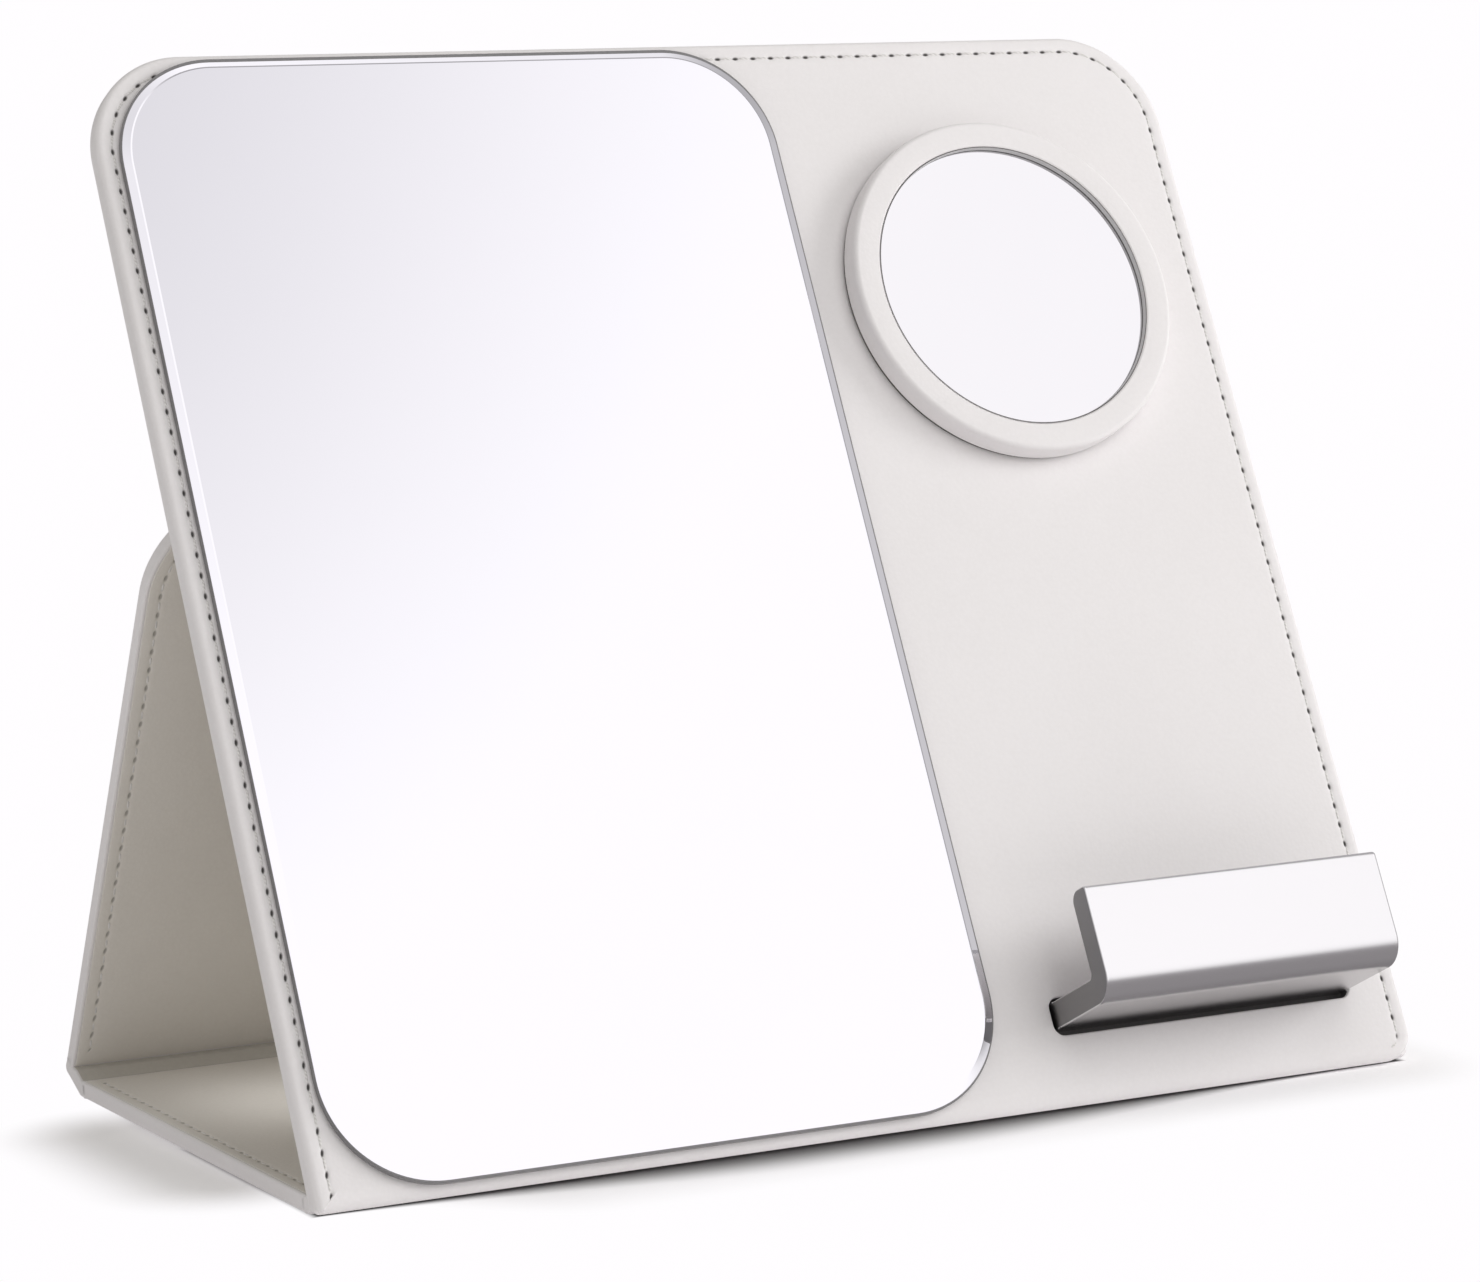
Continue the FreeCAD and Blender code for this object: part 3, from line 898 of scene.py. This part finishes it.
def turned(name, profile, finishes, stands_for, second=(), steps=168):
    """Piece of the round mirror, turned about its axis from (radius, height) points.

    second lists the profile's lines that take the second finish."""
    turns = np.linspace(0, 2 * math.pi, steps, endpoint=False)
    circle = np.stack([np.cos(turns), np.sin(turns)], axis=1)
    points, faces = loft([np.column_stack([radius * circle, np.full(steps, z)]) for radius, z in profile])
    piece = add_piece(name, points, faces, finishes, "round_mirror", stands_for, round_axes)
    for line in second:
        for face in piece.data.polygons[line * steps:(line + 1) * steps]:
            face.material_index = 1


def quarter(radius, z, size, first, last, steps=7):
    """Points on an arc about (radius, z), from one angle to another in degrees."""
    turns = np.radians(np.linspace(first, last, steps))
    return [(radius + size * math.cos(turn), z + size * math.sin(turn)) for turn in turns]


def round_ring():
    """Leather-covered ring that stands on a narrower foot, coloured dark as painted contact shade."""
    low, high = ring_low.z, ring_high.z
    inner = bezel_radius + ring_clear
    profile = [(inner, low), (inner, high - ring_inner_round)]
    profile += quarter(inner + ring_inner_round, high - ring_inner_round, ring_inner_round, 180, 90)
    profile += quarter(ring_radius - ring_top_round, high - ring_top_round, ring_top_round, 90, 0, 11)
    foot = ring_radius - ring_foot_round
    profile += quarter(foot, low + ring_foot_gap + ring_foot_round, ring_foot_round, 0, -90)
    profile += [(foot, low), (inner, low)]
    lines = len(profile) - 1
    turned("ring_cover", profile, [leather_finish, painted_line_finish], ["puck_shell"],
           second=(lines - 2, lines - 1))


def round_glass():
    """Slightly curved mirror whose tiny hub is flat."""
    low, high = round_glass_low.z, round_glass_high.z
    flat = round_glass_radius - round_glass_rim
    rise = math.sqrt(round_glass_curve ** 2 - flat ** 2)
    profile = [(round_glass_radius, low), (round_glass_radius, high)]
    for share in np.linspace(1, round_glass_hub, 14):
        radius = flat * share
        profile.append((radius, high + rise - math.sqrt(round_glass_curve ** 2 - radius ** 2)))
    turned("round_glass", profile, [round_silver], ["puck_glass"])


def round_bezel():
    """Grey wall from the leather down to the glass, with painted shade along its lip and its foot."""
    low, top, floor = bezel_low.z, bezel_high.z, round_glass_high.z
    profile = [(bezel_radius, low), (bezel_radius, top), (bezel_radius - bezel_lip, top),
               (round_glass_radius, floor + bezel_foot), (round_glass_radius, floor),
               (round_glass_radius, low), (bezel_radius, low)]
    turned("round_bezel", profile, [bezel_finish, painted_line_finish], ["puck_rim"],
           second=(1, 3))


round_ring()
round_glass()
round_bezel()


# Creases

stand_thickness = base_panel.outer - base_panel.inner
pivot_room = spine_low.z
base_way = Vector((0, 1, 0))
spine_way = (spine_high - spine_low).normalized()
half_spine = (spine_high - spine_low).length / 2
base_end = spine_low.y - front_crease.y - base_panel.outline.high
back_end = back_panel.outline.low


def strip_section(edge):
    """(x, share) points round a strip as wide as the panels. share is 0 inside and 1 on the outer face."""
    over = roll_steps(edge.roll, edge.drop)
    under = roll_steps(edge.inner_roll, edge.inner_drop)[::-1]
    end = [(half_width - inset, 1 - depth / stand_thickness) for inset, depth in over]
    end += [(half_width - inset, depth / stand_thickness) for inset, depth in under]
    return end + [(-x, share) for x, share in end[::-1]]


def leather_strip(name, stations, stands_for):
    """Bent strip across a joint, with painted crease shade along its inner face.

    stations are (outer point, inner point) pairs in the YZ plane."""
    section = strip_section(stand_edge)
    rings = []
    for outer, inner in stations:
        rings.append(np.array([(x, *inner.lerp(outer, share).yz) for x, share in section]))
    points, faces = loft(rings)
    count = len(section)
    caps = [list(range(count)), list(range(len(points) - count, len(points)))]
    finishes = [leather_finish, crease_shade_finish]
    piece = add_piece(name, points, faces.tolist() + caps, finishes, None, stands_for)
    # The inner face takes the painted crease shade
    for number in range(count // 2 - 1, len(faces), count):
        piece.data.polygons[number].material_index = 1
    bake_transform(piece)


def swept_bend(pivot, from_way, to_way, before, after, tucks, steps=9):
    """Stations of a strip that runs before and after a bend about a pivot.

    tucks tells whether its first and its last end is tucked into a panel. The bend's inner corner is
    no farther from the pivot than the strip's inner face, so that the strip lies flat when opened."""
    inner_room = stand_thickness - pivot_room

    def outward(way):
        return Vector((0, way.z, -way.y))

    def station(place, way, thin=0.0):
        return place + outward(way) * (pivot_room - thin), place - outward(way) * (inner_room - thin)

    turn = from_way.angle(to_way)
    corner = -(outward(from_way) + outward(to_way)).normalized() * inner_room
    stations = [station(pivot - from_way * before, from_way)]
    if tucks[0]:
        stations.insert(0, station(pivot - from_way * (before + crease_tuck), from_way, crease_thin))
    for step in range(steps):
        way = Matrix.Rotation(turn * step / (steps - 1), 3, "X") @ from_way
        near = corner + way * corner_spread * (step - steps / 2)
        stations.append((pivot + outward(way) * pivot_room, pivot + near))
    stations.append(station(pivot + to_way * after, to_way))
    if tucks[1]:
        stations.append(station(pivot + to_way * (after + crease_tuck), to_way, crease_thin))
    return stations


lower_bend = swept_bend(spine_low, base_way, spine_way, base_end, half_spine, (True, False))
leather_strip("spine_lower_fold", lower_bend,
              ["rear_spine"])
upper_bend = swept_bend(spine_high, spine_way, back_up, half_spine, back_end, (False, True))
leather_strip("spine_upper_fold", upper_bend,
              ["rear_spine"])


def front_fold(steps=8):
    """Leather between the base's front end and the front panel's foot, bent about the crease."""
    reach = front_crease.z
    foot_rise = front_panel.foot_slope * (front_panel.outer - front_panel.inner)
    foot_reach = -(front_panel.outline.low + foot_rise)
    thin_core = crease_core + crease_thin

    def station(way, outer, inner, shift):
        return front_crease + shift + way * outer, front_crease + shift + way * inner

    down = Vector((0, 0, -1))
    stations = [station(down, reach - crease_thin, thin_core, base_way * crease_tuck)]
    for step in range(steps):
        share = step / (steps - 1)
        way = Matrix.Rotation(-front_lean * share, 3, "X") @ down
        stations.append(station(way, reach + (foot_reach - reach) * share, crease_core, Vector()))
    stations.append(station(-front_up, foot_reach - crease_thin, thin_core, front_face * crease_tuck))
    leather_strip("front_fold_strip", stations,
                  ["front_crease"])


front_fold()


# Floor, light and camera

front_foot = front_crease.y - (front_panel.outer - foot_edge.drop) / math.cos(front_lean)
white = rgb(1.0, 0.985, 1.0)
sky_level = 0.42
floor_reach = 4000 * MM
floor_drop = 0.2 * MM
floor_glow = 0.175

# Shadow kept on the floor: how far its footprint is drawn out or in, and where it fades
shadow_past_left = 4 * MM
shadow_short_of_right = 10 * MM
shadow_short_of_rear = 8 * MM
shadow_beside = 20 * MM
shadow_widens = 45 * MM
fade_start = 4 * MM
fade_end = 25 * MM

# Painted contact shadow: a dark line on the floor ahead of the front panel's foot, longest at shade_full
# and gone at shade_gone
shade_reach = 15 * MM
shade_least = 1 * MM
shade_ends = 2 * MM
shade_past_ends = 0.3 * MM
shade_behind = 10 * MM
shade_full = -0.2 * half_width
shade_gone = 0.95 * half_width

# What mirrors and metal see: the floor's grey, a white card and a dim patch. A way is an azimuth and an
# elevation, and an edge is two cosines.
table_near = 50 * MM
table_far = 800 * MM
card_level = 1.25
card_way = (5, 35)
card_edge = (0.63, 0.80)
patch_way = (22, 52)
patch_edge = (0.958, 1.01)
patch_share = 0.40

# Camera
aim = front_crease + Vector((-14.2, 23.97, 81.35)) * MM
view_azimuth = -28.35
view_elevation = 7.29
view_distance = 844.15 * MM
view_roll = -1.04
photo_width = 1480
focal_pixels = 4820.53


def heading(azimuth, elevation):
    """Unit vector towards an azimuth, counted from the front to the right, and an elevation."""
    turn, rise = math.radians(azimuth), math.radians(elevation)
    return Vector((math.sin(turn) * math.cos(rise), -math.cos(turn) * math.cos(rise), math.sin(rise)))


def ray(paint, kind):
    return paint.node("ShaderNodeLightPath", output="Is " + kind + " Ray")


def out_of_shade(paint):
    """Share out of the painted contact shadow: 0 along the front panel's foot, growing to 1 ahead of it,
    beside it and behind it.
    """
    x = paint.axis(paint.place(), "X")
    y = paint.axis(paint.place(), "Y")
    from_left = paint.ramp(x, -half_width - shade_ends, shade_full)
    to_right = 1 - paint.ramp(x, 0.0, shade_gone)
    reach = from_left * to_right * shade_reach + shade_least
    ahead = paint.ramp((front_foot - y) / reach, 0.0, 1.0)
    beside = paint.ramp(x.unsigned(), half_width - shade_ends, half_width + shade_past_ends)
    behind = paint.ramp(y, 0.0, shade_behind)
    return ahead.larger(beside).larger(behind)


def from_footprint(paint):
    """Distance of a place on the floor from the object's footprint, drawn shorter at its left end."""
    x = paint.axis(paint.place(), "X")
    y = paint.axis(paint.place(), "Y")
    left, right = -half_width - shadow_past_left, half_width - shadow_short_of_right
    rear = cad_box[1].y - shadow_short_of_rear
    half_depth = (rear - front_foot) / 2
    inside = paint.ramp(x, -half_width, -half_width + shadow_widens)
    depth = inside * (half_depth - shadow_beside) + shadow_beside
    away_x = (x - (left + right) / 2).unsigned() - (right - left) / 2
    away_y = (y - (rear + front_foot) / 2).unsigned() - depth
    away = paint.node("ShaderNodeCombineXYZ", None, {0: away_x.larger(0.0), 1: away_y.larger(0.0)})
    return paint.node("ShaderNodeVectorMath", {"operation": "LENGTH"}, {0: away}, "Value")


def studio_floor():
    """Pale floor that keeps the object's shadow, with a painted contact shadow ahead of the front panel's
    foot, and turns white away from it. Metal sees it as grey.
    """
    mesh = bpy.data.meshes.new("floor")
    corners = [(x * floor_reach, y * floor_reach, 0) for x, y in ((-1, -1), (1, -1), (1, 1), (-1, 1))]
    mesh.from_pydata(corners, [], [(0, 1, 2, 3)])
    floor = bpy.data.objects.new("floor", mesh)
    floor.location.z = -floor_drop
    bpy.context.scene.collection.objects.link(floor)
    made, paint = new_finish("pale_floor")
    mesh.materials.append(made)
    seen = ray(paint, "Camera").larger(ray(paint, "Transmission"))
    distance = from_footprint(paint)
    # dark is the colour of the painted contact shadow
    pale, dark = paint.matt(rgb(0.9, 0.89, 0.9)), paint.matt(rgb(0.08, 0.078, 0.078))
    near = paint.node("ShaderNodeAddShader", None, {0: pale, 1: paint.glow(white, floor_glow)})
    fade = paint.ramp(distance, fade_start, fade_end) * seen
    direct = paint.mix_shaders(fade, near, paint.glow(white, 1.0))
    # Painted contact shadow, seen by the camera
    direct = paint.mix_shaders(out_of_shade(paint).larger(1 - seen), dark, direct)
    far = paint.ramp(distance, table_near, table_far)
    table = paint.mix(far, rgb(0.30, 0.285, 0.295), rgb(0.8, 0.79, 0.8))
    paint.surface(paint.mix_shaders(ray(paint, "Glossy"), direct, paint.glow(table, 1.0)))


def studio_sky():
    """Soft light all round. Mirrors see a white card in a grey studio and a dim patch on the card."""
    world = bpy.data.worlds.new("studio")
    bpy.context.scene.world = world
    world.use_nodes = True
    world.cycles.sampling_method = "NONE"
    paint = Paint(world.node_tree)
    way = paint.node("ShaderNodeTexCoord", output="Generated")

    def toward(azimuth, elevation):
        sockets = {0: way, 1: tuple(heading(azimuth, elevation))}
        return paint.node("ShaderNodeVectorMath", {"operation": "DOT_PRODUCT"}, sockets, "Value")

    card = paint.ramp(toward(*card_way), *card_edge)
    patch = paint.ramp(toward(*patch_way), *patch_edge) * patch_share
    card_white = rgb(*(card_level * part for part in white[:3]))
    mirrored = paint.mix(card, rgb(0.48, 0.47, 0.48), card_white)
    mirrored = paint.mix(patch, mirrored, rgb(0.0, 0.0, 0.03))
    glossy = ray(paint, "Glossy")
    shown = paint.mix(glossy, white, mirrored)
    seen = glossy.larger(ray(paint, "Camera")).larger(ray(paint, "Transmission"))
    ambient = rgb(sky_level, 0.985 * sky_level, 0.945 * sky_level)
    colour = paint.mix(seen, ambient, shown)
    light = paint.node("ShaderNodeBackground", None, {"Color": colour, "Strength": 1.0})
    paint.node("ShaderNodeOutputWorld", None, {"Surface": light})


def lamp(name, place, back, width, depth, power, spread=180):
    """Flat lamp that shines away from its back, seen neither directly nor in mirrors."""
    light = bpy.data.lights.new(name, "AREA")
    light.shape = "RECTANGLE"
    light.size = width
    light.size_y = depth
    light.energy = power
    light.spread = math.radians(spread)
    holder = bpy.data.objects.new(name, light)
    holder.location = place
    holder.rotation_mode = "QUATERNION"
    holder.rotation_quaternion = back.to_track_quat("Z", "Y")
    holder.visible_camera = False
    holder.visible_glossy = False
    bpy.context.scene.collection.objects.link(holder)


def softbox(name, azimuth, elevation, distance, size, power):
    """Square lamp that faces the middle of the object."""
    out = heading(azimuth, elevation)
    lamp(name, lit_middle + out * distance, out, size, size, power)


def photo_camera():
    camera = bpy.data.cameras.new("camera")
    camera.sensor_fit = "HORIZONTAL"
    camera.sensor_width = 36.0
    camera.lens = camera.sensor_width * (focal_pixels / photo_width)
    camera.clip_start = 10 * MM
    holder = bpy.data.objects.new("camera", camera)
    out = heading(view_azimuth, view_elevation)
    right = (-out).cross(Vector((0, 0, 1))).normalized()
    up = right.cross(-out)
    tilt = math.radians(view_roll)
    rolled_right = right * math.cos(tilt) + up * math.sin(tilt)
    rolled_up = up * math.cos(tilt) - right * math.sin(tilt)
    place = Matrix((rolled_right, rolled_up, out)).transposed().to_4x4()
    place.translation = aim + out * view_distance
    holder.matrix_world = place
    bpy.context.scene.collection.objects.link(holder)
    bpy.context.scene.camera = holder


studio_floor()
studio_sky()
lit_middle = Vector((0, 0, 80 * MM))
softbox("key_softbox", azimuth=14, elevation=42, distance=1.1, size=0.7, power=2.95)
softbox("right_softbox", azimuth=66, elevation=18, distance=1.6, size=0.7, power=10.2)
softbox("left_fill", azimuth=-95, elevation=8, distance=1.2, size=0.7, power=0.7)
tent_middle = Vector((-58, 18, 44)) * MM
lamp("fill_under_the_ridge", tent_middle, Vector((0, 0, 1)), width=80 * MM, depth=36 * MM, power=0.0040,
     spread=70)
photo_camera()
bpy.context.scene.view_settings.view_transform = "Standard"
